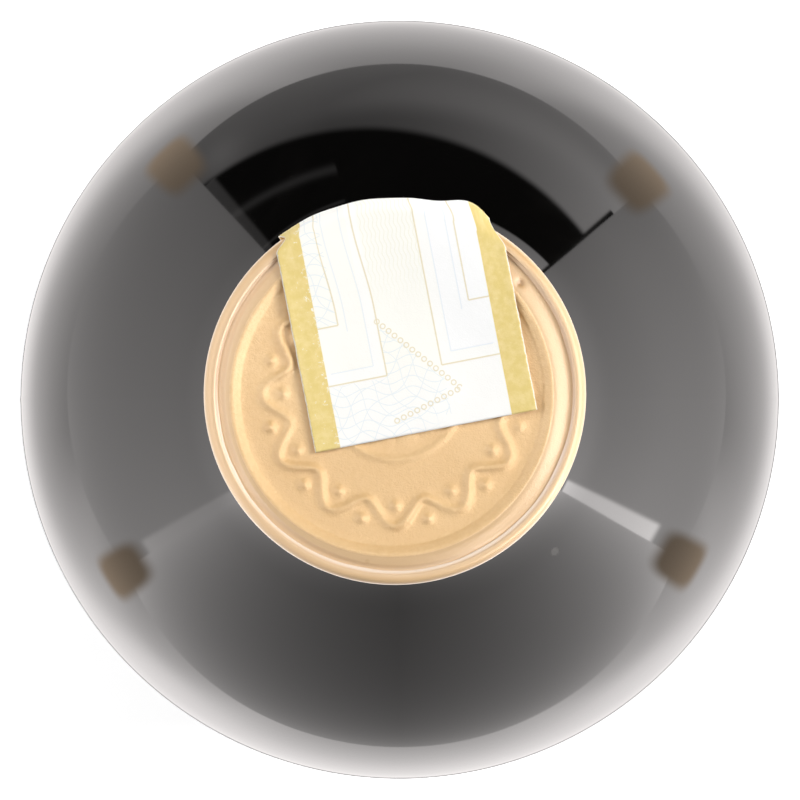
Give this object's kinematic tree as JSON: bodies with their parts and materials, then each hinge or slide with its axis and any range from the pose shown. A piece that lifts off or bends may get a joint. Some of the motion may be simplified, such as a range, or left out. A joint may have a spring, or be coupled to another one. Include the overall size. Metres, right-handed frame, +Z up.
{
  "type": "wine bottle",
  "caption": "Shut dark-glass wine bottle with high shoulders, a gold shrink capsule with an embossed disc, and a plain paper seal strip.",
  "frame": {"origin": "centre of the foot, on the surface the bottle stands on", "axes": "+Z up along the bottle, the front label faces -Y, the seal strip runs down the back towards +Y"},
  "size_m": [0.075, 0.075, 0.3006],
  "materials": {
    "dark_glass": "polished, almost black, opaque with the wine in it",
    "capsule_foil": "satin peach-gold, shrunk on",
    "disc_foil": "satin peach-gold, fine grain, embossed",
    "seal_paper": "white security paper with gold side bands",
    "label_paper": "uncoated cream paper"
  },
  "bodies": {
    "root": {"bottle": "dark_glass", "capsule": "capsule_foil", "capsule_disc": "disc_foil", "seal_strip": "seal_paper", "front_label": "label_paper"}
  },
  "joints": []
}
